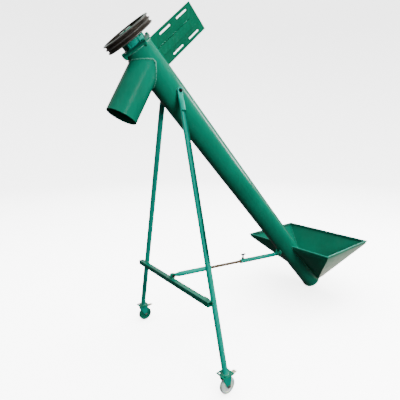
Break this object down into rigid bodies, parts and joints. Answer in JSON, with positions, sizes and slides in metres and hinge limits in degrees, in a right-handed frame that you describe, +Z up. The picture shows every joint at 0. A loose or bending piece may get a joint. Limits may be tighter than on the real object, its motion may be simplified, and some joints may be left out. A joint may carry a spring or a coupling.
{
  "type": "grain auger",
  "caption": "Inclined tube screw conveyor with hopper, discharge spout, belt pulley and motor plate on a two-legged caster stand.",
  "frame": {"origin": "middle of the bounding box on the floor", "axes": "+Z up, +X from the discharge end to the hopper end, +Y across to the rear leg"},
  "size_m": [2.1259, 1.074, 2.1972],
  "materials": {
    "green_paint": "glossy green machine enamel over steel",
    "cast_iron": "dark machined casting with polished rims",
    "bright_steel": "bare machined steel",
    "dark_steel": "black oxide",
    "rusty_steel": "bare bar with light rust",
    "nylon_wheel": "milky nylon with paint overspray",
    "pedal_plastic": "dull beige"
  },
  "bodies": {
    "root": {"auger_tube": "green_paint", "discharge_spout": "green_paint", "bottom_end_cap": "green_paint", "bottom_bearing": "bright_steel", "top_end_flange": "green_paint", "bearing_plate": "green_paint", "top_bearing_housing": "green_paint", "top_bearing": "bright_steel", "flange_bolt_1": "green_paint", "flange_bolt_2": "green_paint", "flange_bolt_3": "green_paint", "flange_bolt_4": "green_paint", "motor_plate": "green_paint", "motor_plate_channel": "green_paint", "hopper": "green_paint", "leg_pivot_boss_front": "green_paint", "leg_pivot_boss_rear": "green_paint", "leg_pivot_bolt_front": "dark_steel", "leg_pivot_bolt_rear": "dark_steel", "strut_bracket": "green_paint", "strut_bracket_pin": "dark_steel"},
    "screw": {"screw_shaft": "bright_steel", "screw_flighting": "bright_steel", "drive_pulley": "cast_iron", "pulley_key": "bright_steel"},
    "leg_frame": {"leg_front": "green_paint", "leg_rear": "green_paint", "cross_bar": "green_paint", "bar_gusset_front": "green_paint", "bar_gusset_rear": "green_paint", "strut_lug_a": "green_paint", "strut_lug_b": "green_paint", "strut_lug_bolt": "dark_steel", "caster_plate_front": "green_paint", "caster_plate_rear": "green_paint", "swivel_race_front": "green_paint", "swivel_race_rear": "green_paint"},
    "strut_lower": {"strut_lower_tube": "green_paint", "strut_rod": "rusty_steel"},
    "strut_upper": {"strut_upper_tube": "green_paint", "clamp_nut": "bright_steel"},
    "clamp": {"clamp_screw": "dark_steel"},
    "fork_front": {"caster_fork_front": "green_paint", "caster_axle_front": "bright_steel"},
    "wheel_front": {"caster_wheel_front": "nylon_wheel"},
    "pedal_front": {"brake_pedal_front": "pedal_plastic"},
    "fork_rear": {"caster_fork_rear": "green_paint", "caster_axle_rear": "bright_steel"},
    "wheel_rear": {"caster_wheel_rear": "nylon_wheel"},
    "pedal_rear": {"brake_pedal_rear": "pedal_plastic"}
  },
  "joints": [
    {"name": "screw_spin", "type": "hinge", "parent": "root", "child": "screw", "pos_m": [0.02179, 0, 0.93603], "axis": [-0.6871, 0, 0.7266], "continuous": true},
    {"name": "leg_fold", "type": "hinge", "parent": "root", "child": "leg_frame", "pos_m": [-0.68, 0, 1.67815], "axis": [0, 1, 0], "range_deg": [-5.5, 5.5]},
    {"name": "strut_pivot", "type": "hinge", "parent": "leg_frame", "child": "strut_lower", "pos_m": [-0.7137, 0, 0.547], "axis": [0, 1, 0], "range_deg": [-7, 7]},
    {"name": "strut_slide", "type": "slide", "parent": "strut_lower", "child": "strut_upper", "axis": [0.995, 0, -0.0998], "range_m": [-0.12, 0.12]},
    {"name": "clamp_turn", "type": "hinge", "parent": "strut_upper", "child": "clamp", "pos_m": [-0.08685, 0, 0.48412], "axis": [0.0998, 0, 0.995], "range_deg": [0, 360]},
    {"name": "swivel_front", "type": "hinge", "parent": "leg_frame", "child": "fork_front", "pos_m": [-0.6942, -0.5, 0.11], "axis": [0, 0, 1], "continuous": true},
    {"name": "roll_front", "type": "hinge", "parent": "fork_front", "child": "wheel_front", "pos_m": [-0.6802, -0.5, 0.048], "axis": [0, 1, 0], "continuous": true},
    {"name": "brake_front", "type": "hinge", "parent": "fork_front", "child": "pedal_front", "pos_m": [-0.6642, -0.5, 0.103], "axis": [0, 1, 0], "range_deg": [0, 10]},
    {"name": "swivel_rear", "type": "hinge", "parent": "leg_frame", "child": "fork_rear", "pos_m": [-0.6942, 0.5, 0.11], "axis": [0, 0, 1], "continuous": true},
    {"name": "roll_rear", "type": "hinge", "parent": "fork_rear", "child": "wheel_rear", "pos_m": [-0.6802, 0.5, 0.048], "axis": [0, 1, 0], "continuous": true},
    {"name": "brake_rear", "type": "hinge", "parent": "fork_rear", "child": "pedal_rear", "pos_m": [-0.6642, 0.5, 0.103], "axis": [0, 1, 0], "range_deg": [0, 10]}
  ],
  "couplings": [
    {"joint": "strut_pivot", "follows": "leg_fold", "ratio": -1.085},
    {"joint": "strut_slide", "follows": "leg_fold", "m_per_rad": 1.127}
  ]
}
